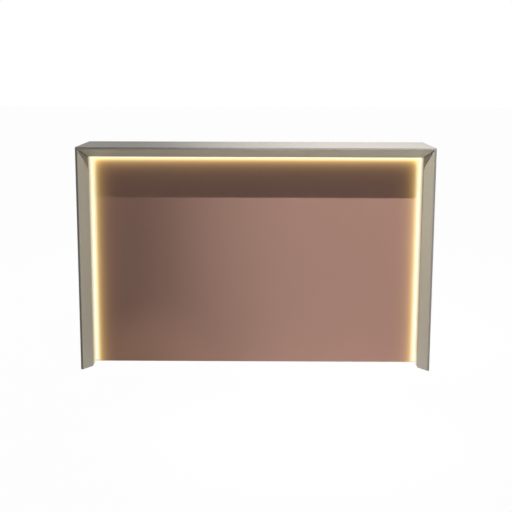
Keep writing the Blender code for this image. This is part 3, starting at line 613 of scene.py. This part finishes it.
def dress_faces():
    for name, (finish, facing) in FACE_FINISHES.items():
        mesh = NODES[name].data
        mesh.materials.append(FINISHES[finish])
        for polygon in mesh.polygons:
            polygon.material_index = int(polygon.normal.dot(facing) > FACING)


def dress_pins():
    """The inlet's pins stand clear of the socket's walls, so their faces are told by their place."""
    low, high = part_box("power_inlet")
    middle = (low + high) / 2
    mesh = NODES["power_inlet"].data
    mesh.materials.append(FINISHES["pin_brass"])
    for polygon in mesh.polygons:
        centre = polygon.center
        in_socket = PIN_DEPTHS[0] < high.y - centre.y < PIN_DEPTHS[1]
        in_span = abs(centre.x - middle.x) < PIN_HALF_SPAN
        in_rise = abs(centre.z - middle.z + PIN_DROP) < PIN_HALF_RISE
        if in_socket and in_span and in_rise and centre.z < middle.z:
            polygon.material_index = 1


def soften(name, width):
    """Rounds the sharp edges of a moulded, folded or lacquered part, and leaves no empty faces behind."""
    modifiers = NODES[name].modifiers
    modifiers.new("weld", "WELD").merge_threshold = WELD
    bevel = modifiers.new("soft_edges", "BEVEL")
    bevel.width = width
    bevel.segments = SOFT_EDGE_SEGMENTS
    bevel.limit_method = "ANGLE"
    bevel.angle_limit = SOFT_EDGE_ANGLE
    modifiers.new("clean", "WELD").merge_threshold = WELD


# Mesh helpers


def add_piece(name, bm, finish, body, replaced=(), smooth=35):
    """A named piece on a body, smooth except where its faces meet at more than the given angle."""
    bmesh.ops.recalc_face_normals(bm, faces=bm.faces[:])
    mesh = bpy.data.meshes.new(name)
    bm.to_mesh(mesh)
    bm.free()
    mesh.polygons.foreach_set("use_smooth", [True] * len(mesh.polygons))
    mesh.set_sharp_from_angle(angle=math.radians(smooth))
    mesh.materials.append(FINISHES[finish])
    piece = bpy.data.objects.new(name, mesh)
    bpy.context.scene.collection.objects.link(piece)
    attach(piece, body)
    if replaced:
        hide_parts(*replaced)
    return piece


def loft(bm, rings, closed=False):
    """Skins rings of equal length, and caps both ends unless the rings close on themselves."""
    made = [[bm.verts.new(point) for point in ring] for ring in rings]
    followers = made[1:] + made[:1] if closed else made[1:]
    for first, second in zip(made, followers):
        for i, corner in enumerate(first):
            j = (i + 1) % len(first)
            bm.faces.new((corner, first[j], second[j], second[i]))
    if not closed:
        bm.faces.new(made[0])
        bm.faces.new(made[-1])


def angles(steps):
    return [2 * math.pi * i / steps for i in range(steps)]


def across_of(axis):
    """Two directions square to an axis and to each other."""
    first = axis.orthogonal().normalized()
    return first, axis.cross(first)


def circle(centre, axis, radius, steps):
    u, v = across_of(axis)
    return [centre + (u * math.cos(a) + v * math.sin(a)) * radius for a in angles(steps)]


def turned(bm, profile, centre, axis, steps, closed=False):
    """A turned shape from (radius, height) points about an axis."""
    loft(bm, [circle(centre + axis * h, axis, r, steps) for r, h in profile], closed)


def tube(bm, path, radii, sides):
    """A round bar along a path, with each section square to it and not twisted against the one before."""
    rings = []
    across = (path[1] - path[0]).orthogonal()
    for i, (place, radius) in enumerate(zip(path, radii)):
        ahead = (path[min(i + 1, len(path) - 1)] - path[max(i - 1, 0)]).normalized()
        across = (across - ahead * across.dot(ahead)).normalized()
        other = ahead.cross(across)
        rings.append([place + (across * math.cos(a) + other * math.sin(a)) * radius for a in angles(sides)])
    loft(bm, rings)


def rounded_path(corners, bend, steps):
    """Points along straight runs between the corners, with every corner turned on the same bend radius."""
    path = [corners[0]]
    for before, corner, after in zip(corners, corners[1:], corners[2:]):
        back = (before - corner).normalized()
        ahead = (after - corner).normalized()
        half = back.angle(ahead) / 2
        centre = corner + (back + ahead).normalized() * bend / math.sin(half)
        first = (corner + back * bend / math.tan(half) - centre).normalized()
        last = (corner + ahead * bend / math.tan(half) - centre).normalized()
        path += [centre + first.slerp(last, i / steps) * bend for i in range(steps + 1)]
    path.append(corners[-1])
    return path


def arc(radius, first, last, steps, centre=(0.0, 0.0)):
    turns = [math.radians(first + (last - first) * i / steps) for i in range(steps + 1)]
    return [(centre[0] + radius * math.cos(t), centre[1] + radius * math.sin(t)) for t in turns]


def prism(bm, outline, origin, u, v, along):
    """An outline in (u, v) carried along a vector."""
    start = [origin + u * a + v * b for a, b in outline]
    loft(bm, [start, [point + along for point in start]])


def rounded_box(half_w, half_h, corner, steps=5):
    """A rectangle about the origin with rounded corners."""
    points = []
    for turn, (sx, sy) in zip((0, 90, 180, 270), ((1, 1), (-1, 1), (-1, -1), (1, -1))):
        centre = (sx * (half_w - corner), sy * (half_h - corner))
        points += arc(corner, turn, turn + 90, steps, centre)
    return points


def plate(bm, outline, origin, u, v, out, thickness, soft):
    """A flat plate with softened outer edges, standing off its origin along out."""
    scale = 1 - soft / max(max(abs(a), abs(b)) for a, b in outline)
    rings = [(1.0, 0.0), (1.0, thickness - soft), (scale, thickness)]
    loft(bm, [[origin + (u * a + v * b) * s + out * h for a, b in outline] for s, h in rings])


def screw(bm, place, out, radius):
    """A domed screw head with a hexagon socket, seated at place and facing out."""
    u, v = across_of(out)
    steep = radius / SCREW_R

    def ring(reach, height):
        centre = place + out * height * steep
        return [centre + (u * math.cos(a) + v * math.sin(a)) * reach(a) for a in angles(SCREW_STEPS)]

    def hexagon(a):
        return steep * SCREW_HEX / math.cos((a + math.pi / 6) % (math.pi / 3) - math.pi / 6)

    rings = [ring(lambda a, s=share: radius * s, SCREW_H * h) for share, h in SCREW_DOME]
    rings += [ring(hexagon, SCREW_H), ring(hexagon, SCREW_H * SCREW_SOCKET_FLOOR)]
    loft(bm, rings)


def screws(name, places, out, finish, body, radius=SCREW_R):
    bm = bmesh.new()
    for place in places:
        screw(bm, Vector(place), out, radius)
    return add_piece(name, bm, finish, body, smooth=30)


def evenly(first, last, count):
    return [first + (last - first) * i / (count - 1) for i in range(count)]


# Light covers


def cover_outline():
    outer = arc(COVER_R, 0, 90, COVER_STEPS)
    inner = arc(COVER_R - COVER_T, 90, 0, COVER_STEPS)
    return outer + inner


def make_cover(word, corner, u, v, along, start, end):
    """One cover. start and end say where its lengths end, by their distance out from the board it follows."""
    outline = cover_outline()
    bm = bmesh.new()
    rings = []
    for limit in (start, end):
        rings.append([corner + u * a + v * b + along * limit(a) for a, b in outline])
    loft(bm, rings)
    cover = add_piece(f"{word}_light_cover", bm, "opal_cover", "desk", [f"{word}_led_diffuser"], smooth=30)
    turns = [math.atan2(b, a) / (math.pi / 2) for a, b in outline]
    cover.data.attributes.new("arc", "FLOAT", "POINT").data.foreach_set("value", turns * len(rings))


def make_covers():
    for word, side in (("left", -1), ("right", 1)):
        low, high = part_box(f"{word}_led_diffuser")
        corner = Vector((low.x if side < 0 else high.x, high.y, 0))
        make_cover(word, corner, X * -side, -Y, Z, lambda a, z=low.z: z, lambda a, z=high.z: z - a)
    low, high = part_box("top_led_diffuser")
    corner = Vector((0, high.y, high.z))
    make_cover("top", corner, -Z, -Y, X, lambda a: low.x + a, lambda a: high.x - a)


# Drawer pulls and fasteners


def make_pull(word):
    low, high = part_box(f"{word}_drawer_handle")
    z = (low.z + high.z) / 2
    left, right = low.x + PULL_R, high.x - PULL_R
    foot, bar = low.y, high.y - PULL_R
    corners = [Vector(p) for p in ((left, foot, z), (left, bar, z), (right, bar, z), (right, foot, z))]
    path = rounded_path(corners, PULL_BEND, PULL_BEND_STEPS)
    bm = bmesh.new()
    tube(bm, path, [PULL_R] * len(path), PULL_SIDES)
    collar = [(PULL_COLLAR_R * r, PULL_COLLAR_T * h) for r, h in PULL_COLLAR_SHAPE]
    collar.append((PULL_R, PULL_COLLAR_T))
    for x in (left, right):
        turned(bm, collar, Vector((x, foot, z)), Y, PULL_COLLAR_STEPS)
    add_piece(f"{word}_drawer_pull", bm, "bronze_metal", f"{word}_drawer", [f"{word}_drawer_handle"])


def make_slide_screws(word):
    """Heads inside each slide's channel, where they fix it to the drawer's side."""
    for side_word, out in (("left", -X), ("right", X)):
        low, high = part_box(f"{word}_drawer_{side_word}_slide")
        web = (high.x if side_word == "left" else low.x) + out.x * SLIDE_WEB
        z = (low.z + high.z) / 2
        depths = evenly(low.y + SLIDE_SCREW_END, high.y - SLIDE_SCREW_END, SLIDE_SCREW_COUNT)
        places = [(web, y, z) for y in depths]
        screws(f"{word}_drawer_{side_word}_slide_screws", places, out, "zinc_steel", f"{word}_drawer")


def make_cleat_screws():
    """Heads along each cleat, with none behind the worktop's edge."""
    for word in ("left", "right"):
        low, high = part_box(f"{word}_panel_cleat")
        x = (low.x + high.x) / 2
        heights = evenly(low.z + CLEAT_SCREW_END, high.z - CLEAT_SCREW_END, CLEAT_SCREW_COUNT)
        places = [(x, high.y, z) for z in heights if not CLEAT_SCREW_FREE[0] < z < CLEAT_SCREW_FREE[1]]
        screws(f"{word}_cleat_screws", places, Y, "zinc_steel", "desk")


def make_tray_screws():
    low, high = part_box("cable_tray")
    widths = evenly(low.x + TRAY_SCREW_END, high.x - TRAY_SCREW_END, TRAY_SCREW_COUNT)
    places = [(x, low.y + TRAY_SCREW_INSET, high.z - TRAY_T) for x in widths]
    screws("tray_screws", places, -Z, "zinc_steel", "desk")


# Cable grommet


def make_grommet():
    low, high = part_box("grommet_ring")
    centre = Vector(((low.x + high.x) / 2, (low.y + high.y) / 2, 0))
    top, flange = high.z, high.z - GROMMET_FLANGE_T
    seat = flange - GROMMET_SEAT - GROMMET_PLAY
    lip_centre = (GROMMET_FLANGE_R - GROMMET_LIP_R, top - GROMMET_LIP_R)
    lip = arc(GROMMET_LIP_R, 90, 0, GROMMET_LIP_STEPS, lip_centre)
    profile = [
        (GROMMET_BORE_R, top - GROMMET_CHAMFER),
        (GROMMET_BORE_R + GROMMET_CHAMFER, top),
        *lip,
        (GROMMET_FLANGE_R, flange),
        (GROMMET_SLEEVE_R, flange),
        (GROMMET_SLEEVE_R, low.z),
        (GROMMET_LEDGE_R, low.z),
        (GROMMET_LEDGE_R, seat),
        (GROMMET_BORE_R, seat),
    ]
    bm = bmesh.new()
    turned(bm, profile, centre, Z, GROMMET_STEPS, closed=True)
    add_piece("grommet_collar", bm, "black_plastic", "desk", ["grommet_ring"])
    make_lid(centre)


def lid_outline(radius, inset):
    """A disc with a rounded cable slot in its rear edge, drawn in from its own edge by the inset."""
    corner = LID_SLOT_CORNER + inset
    half = LID_SLOT_W / 2 + inset
    gap = math.degrees(math.asin(half / (radius - inset)))
    floor = radius - LID_SLOT_L + LID_SLOT_CORNER
    rim = arc(radius - inset, 90 + gap, 450 - gap, LID_STEPS)
    right = arc(corner, 0, -90, LID_CORNER_STEPS, (half - corner, floor))
    left = arc(corner, -90, -180, LID_CORNER_STEPS, (corner - half, floor))
    return rim + right + left


def make_lid(centre):
    """A flat lid with a soft edge and a raised rim, which runs round the slot too."""
    low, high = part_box("grommet_cap")
    radius = (high.x - low.x) / 2
    rim = LID_SOFT_EDGE + LID_RIM
    profile = [
        (0.0, low.z),
        (0.0, high.z - LID_SOFT_EDGE),
        (LID_SOFT_EDGE, high.z),
        (rim, high.z),
        (rim + LID_SOFT_EDGE, high.z - LID_SINK),
    ]
    bm = bmesh.new()
    rings = []
    for inset, z in profile:
        rings.append([centre + X * a + Y * b + Z * z for a, b in lid_outline(radius, inset)])
    loft(bm, rings)
    caps = [face for face in bm.faces if len(face.verts) > 4]
    bmesh.ops.triangulate(bm, faces=caps, ngon_method="EAR_CLIP")
    add_piece("grommet_lid", bm, "black_plastic", "cable_cap", ["grommet_cap"])


# Levelling glides


def make_glide(name):
    """A round foot on a threaded stem."""
    low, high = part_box(name)
    centre = Vector(((low.x + high.x) / 2, (low.y + high.y) / 2, 0))
    radius, edge = (high.x - low.x) / 2, GLIDE_SOFT_EDGE
    disc_top, top = GLIDE_DISC_T, high.z
    root = GLIDE_STEM_R - THREAD_DEPTH
    profile = [(radius - edge, low.z), (radius, edge), (radius, disc_top - edge), (radius - edge, disc_top)]
    profile += [(GLIDE_STEM_R + GLIDE_STEM_FOOT, disc_top), (root, disc_top + GLIDE_CHAMFER)]
    turn = disc_top + THREAD_PITCH
    while turn + THREAD_PITCH < top:
        profile += [(GLIDE_STEM_R, turn), (root, turn + THREAD_PITCH / 2)]
        turn += THREAD_PITCH
    profile += [(root, top - GLIDE_CHAMFER), (root - THREAD_DEPTH, top)]
    bm = bmesh.new()
    turned(bm, profile, centre, Z, GLIDE_STEPS)
    add_piece(name.replace("_foot", "_glide"), bm, "nylon", name, [name], smooth=50)


def make_glides():
    for row in ("front", "middle", "rear"):
        for word in ("left", "right"):
            make_glide(f"{row}_{word}_foot")


# Light lead


def lead_corners():
    """Out of the driver, down beside the gable, forward above the floor and across into the light strip."""
    driver_low, driver_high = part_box("led_driver")
    gable_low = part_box("right_gable")[0]
    panel_low, panel_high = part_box("front_panel")
    run_x = gable_low.x - LEAD_R - LEAD_PLAY
    strip_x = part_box("led_lead")[1].x - LEAD_R
    exit_z = (driver_low.z + driver_high.z) / 2
    start_y = driver_low.y - LEAD_PLAY
    down_y = driver_low.y - LEAD_DROP
    points = [
        (run_x, start_y, exit_z),
        (run_x, down_y, exit_z),
        (run_x, down_y, LEAD_Z),
        (run_x, gable_low.y - LEAD_JOG, LEAD_Z),
        (strip_x, panel_high.y + LEAD_JOG, LEAD_Z),
        (strip_x, panel_low.y - LEAD_TIP, LEAD_Z),
    ]
    return [Vector(point) for point in points]


def clip_outline():
    """A saddle over the lead with a nail tab at one side, in (across, out) from the gable."""
    inner = LEAD_R + CLIP_PLAY
    outer = inner + CLIP_WALL
    centre = (0.0, LEAD_R + LEAD_PLAY)
    over = arc(outer, 0, 180, CLIP_STEPS, centre)
    under = arc(inner, 180, 0, CLIP_STEPS, centre)
    tab = [(outer + CLIP_TAB, 0.0), (outer + CLIP_TAB, CLIP_TAB_T), (outer, CLIP_TAB_T)]
    return tab + over + [(-outer, 0.0), (-inner, 0.0)] + under + [(inner, 0.0)]


def make_clip(bm, place, along, across):
    start = place - along * CLIP_W / 2
    prism(bm, clip_outline(), start, across, -X, along * CLIP_W)
    tab = LEAD_R + CLIP_WALL + CLIP_TAB / 2
    turned(bm, NAIL_HEAD, place + across * tab - X * CLIP_TAB_T, -X, NAIL_STEPS)


def make_clips(corners):
    """Clips on the gable, down the lead's drop and along its run above the floor."""
    bm = bmesh.new()
    gable_x = corners[0].x + LEAD_R + LEAD_PLAY
    down_y, low_z = corners[1].y, corners[2].z
    for z in evenly(corners[1].z - CLIP_DROP_END, low_z + CLIP_DROP_END, CLIP_DROP_COUNT):
        make_clip(bm, Vector((gable_x, down_y, z)), Z, Y)
    for y in evenly(down_y - CLIP_RUN_ENDS[0], corners[3].y + CLIP_RUN_ENDS[1], CLIP_RUN_COUNT):
        make_clip(bm, Vector((gable_x, y, low_z)), Y, Z)
    add_piece("lead_clips", bm, "cable_sheath", "desk")


def make_boot(start):
    """A stepped sleeve round the lead where it leaves the driver."""
    bm = bmesh.new()
    boot = [(BOOT_R * r, h) for r, h in BOOT_SHAPE]
    boot.append((LEAD_R + BOOT_PLAY, BOOT_L))
    centre = start + Y * BOOT_PLAY - X * (BOOT_R - LEAD_R)
    turned(bm, boot, centre, -Y, BOOT_STEPS)
    add_piece("lead_boot", bm, "black_plastic", "desk")


def make_lead():
    corners = lead_corners()
    path = rounded_path(corners, LEAD_BEND, LEAD_BEND_STEPS)
    bm = bmesh.new()
    tube(bm, path, [LEAD_R] * len(path), LEAD_SIDES)
    add_piece("light_lead", bm, "cable_sheath", "desk", ["led_lead"])
    make_boot(corners[0])
    make_clips(corners)


# Driver case


def make_driver_details():
    """A lid with cooling ribs on the side that faces the knee space, and ears that screw to the gable."""
    low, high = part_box("led_driver")
    middle = (low + high) / 2
    half_l, half_h = (high.y - low.y) / 2 - LID_PLATE_INSET, (high.z - low.z) / 2 - LID_PLATE_INSET
    face = Vector((low.x, middle.y, middle.z))
    bm = bmesh.new()
    lid = rounded_box(half_l, half_h, LID_PLATE_CORNER)
    plate(bm, lid, face, Y, Z, -X, LID_PLATE_T, PLATE_SOFT_EDGE)
    rib = rounded_box(RIB_W / 2, RIB_L / 2, RIB_W / 2 - RIB_END_FLAT)
    for i in range(RIB_COUNT):
        place = face + Y * RIB_PITCH * (i - (RIB_COUNT - 1) / 2) - X * LID_PLATE_T
        plate(bm, rib, place, Y, Z, -X, RIB_T, RIB_SOFT_EDGE)
    add_piece("driver_lid", bm, "grey_metal", "desk")
    bm = bmesh.new()
    ear = rounded_box(EAR_L / 2, EAR_REACH / 2, EAR_CORNER)
    heads = []
    for y in (low.y + EAR_FROM_END, high.y - EAR_FROM_END):
        for edge, way in ((high.z, 1), (low.z, -1)):
            base = Vector((high.x, y, edge + way * EAR_REACH / 2))
            plate(bm, ear, base, Y, Z, -X, EAR_T, PLATE_SOFT_EDGE)
            heads.append(base - X * EAR_T)
    add_piece("driver_ears", bm, "grey_metal", "desk")
    screws("driver_screws", heads, -X, "zinc_steel", "desk")
    along, up = Y * (half_l - LID_SCREW_INSET), Z * (half_h - LID_SCREW_INSET)
    lid_face = face - X * LID_PLATE_T
    corners = [lid_face + along * a + up * b for a in (-1, 1) for b in (-1, 1)]
    screws("driver_lid_screws", corners, -X, "zinc_steel", "desk", LID_SCREW_R)


# Room


def seen_rays(graph):
    """One for rays from the camera, off gloss or through glass, and zero for those that light a surface."""
    path = graph.node("ShaderNodeLightPath").outputs
    clear = graph.math("MAXIMUM", path["Is Camera Ray"], path["Is Transmission Ray"])
    return graph.math("MAXIMUM", clear, path["Is Glossy Ray"])


def make_world():
    """A white room for the camera, which lights the desk softly from its sides and from behind."""
    world = bpy.data.worlds.new("studio")
    world.use_nodes = True
    bpy.context.scene.world = world
    graph = Graph(world.node_tree)
    towards = graph.coordinates.outputs["Generated"]
    light = ROOM_BASE
    for direction, sharpness, colour in ROOM_LOBES.values():
        facing = graph.node("ShaderNodeVectorMath", {0: towards, 1: direction}, operation="DOT_PRODUCT")
        lobe = graph.math("POWER", graph.math("MAXIMUM", facing.outputs["Value"], 0.0), sharpness)
        light = graph.add_light(light, colour, lobe)
    sight = graph.mix(seen_rays(graph), light, (*WHITE, 1))
    graph.feed(world.node_tree.nodes["Background"].inputs["Color"], sight)


def make_floor():
    """A plain white floor that shows the camera little more than the desk's own shadow."""
    material = bpy.data.materials.new("studio_floor")
    material.use_nodes = True
    graph = Graph(material.node_tree)
    nodes = material.node_tree.nodes
    nodes.remove(nodes["Principled BSDF"])
    diffuse = graph.node("ShaderNodeBsdfDiffuse", {"Color": (FLOOR_WHITE,) * 3 + (1,)})
    glow = graph.node("ShaderNodeEmission", {"Color": (*WHITE, 1), "Strength": 1.0})
    share = graph.math("MULTIPLY", seen_rays(graph), FLOOR_CLEAR)
    mix = graph.node("ShaderNodeMixShader", {0: share, 1: diffuse.outputs[0], 2: glow.outputs[0]})
    graph.feed(nodes["Material Output"].inputs["Surface"], mix.outputs[0])
    bm = bmesh.new()
    bmesh.ops.create_grid(bm, x_segments=8, y_segments=8, size=FLOOR_HALF)
    mesh = bpy.data.meshes.new("studio_floor")
    bm.to_mesh(mesh)
    bm.free()
    mesh.materials.append(material)
    floor = bpy.data.objects.new("studio_floor", mesh)
    bpy.context.scene.collection.objects.link(floor)


def hang(lamp, place, aim):
    """A lamp at its place, turned to its aim."""
    hung = bpy.data.objects.new(lamp.name, lamp)
    hung.location = place
    hung.rotation_euler = (Vector(aim) - Vector(place)).to_track_quat("-Z", "Y").to_euler()
    bpy.context.scene.collection.objects.link(hung)
    return hung


def make_spot(name, place, aim, power, beam, radius):
    lamp = bpy.data.lights.new(name, "SPOT")
    lamp.energy = power
    lamp.spot_size = beam
    lamp.spot_blend = 1.0
    lamp.shadow_soft_size = radius
    return hang(lamp, place, aim)


def light_only(lamp, board):
    """Lets a lamp light one board alone, unseen by the camera and in reflections."""
    lamp.visible_camera = False
    lamp.visible_glossy = False
    lit = bpy.data.collections.new(lamp.name)
    lit.objects.link(NODES[board])
    lamp.light_linking.receiver_collection = lit


def make_board_lamps():
    for name, (place, aim, power, beam, colour, board) in BOARD_LAMPS.items():
        spot = make_spot(name, place, aim, power, math.radians(beam), KEY_RADIUS)
        spot.data.color = colour
        light_only(spot, board)


def make_spots():
    """A key from the front on the right, a wide fill beside it, and a lamp that the floor throws back."""
    make_spot("key", KEY_PLACE, KEY_AIM, KEY_POWER, KEY_BEAM, KEY_RADIUS)
    make_spot("fill", KEY_PLACE, FILL_AIM, FILL_POWER, FILL_BEAM, KEY_RADIUS)
    below = (*BOUNCE_PLACE[:2], 0.0)
    make_spot("bounce", BOUNCE_PLACE, below, BOUNCE_POWER, BOUNCE_BEAM, BOUNCE_RADIUS)


def make_rear():
    """A soft square lamp over the staff side."""
    lamp = bpy.data.lights.new("rear", "AREA")
    lamp.energy = REAR_POWER
    lamp.shape = "SQUARE"
    lamp.size = REAR_SIZE
    hang(lamp, REAR_PLACE, REAR_AIM).visible_glossy = False


def make_camera():
    data = bpy.data.cameras.new("camera")
    data.lens = CAMERA_LENS
    data.sensor_width = CAMERA_SENSOR
    camera = bpy.data.objects.new("camera", data)
    bpy.context.scene.collection.objects.link(camera)
    turn = Matrix.Rotation(CAMERA_TURN, 4, "Z")
    tilt = Matrix.Rotation(math.pi / 2 - CAMERA_PITCH, 4, "X")
    roll = Matrix.Rotation(CAMERA_ROLL, 4, "Z")
    camera.matrix_world = Matrix.Translation(CAMERA_PLACE) @ turn @ tilt @ roll
    bpy.context.scene.camera = camera


make_camera()
make_world()
make_floor()
make_spots()
make_board_lamps()
make_rear()

dress_nodes()
dress_oak()
dress_faces()
dress_pins()
for node_name in ("led_driver", "power_inlet", "rocker_switch"):
    soften(node_name, MOULDED_SOFT_EDGE)
for node_name in ("left_bevel_fascia", "right_bevel_fascia", "top_bevel_fascia"):
    soften(node_name, FASCIA_SOFT_EDGE)

make_covers()
for drawer in ("upper", "lower"):
    make_pull(drawer)
    make_slide_screws(drawer)
make_cleat_screws()
make_tray_screws()
make_grommet()
make_glides()
make_lead()
make_driver_details()

bpy.context.scene.view_settings.view_transform = "Standard"
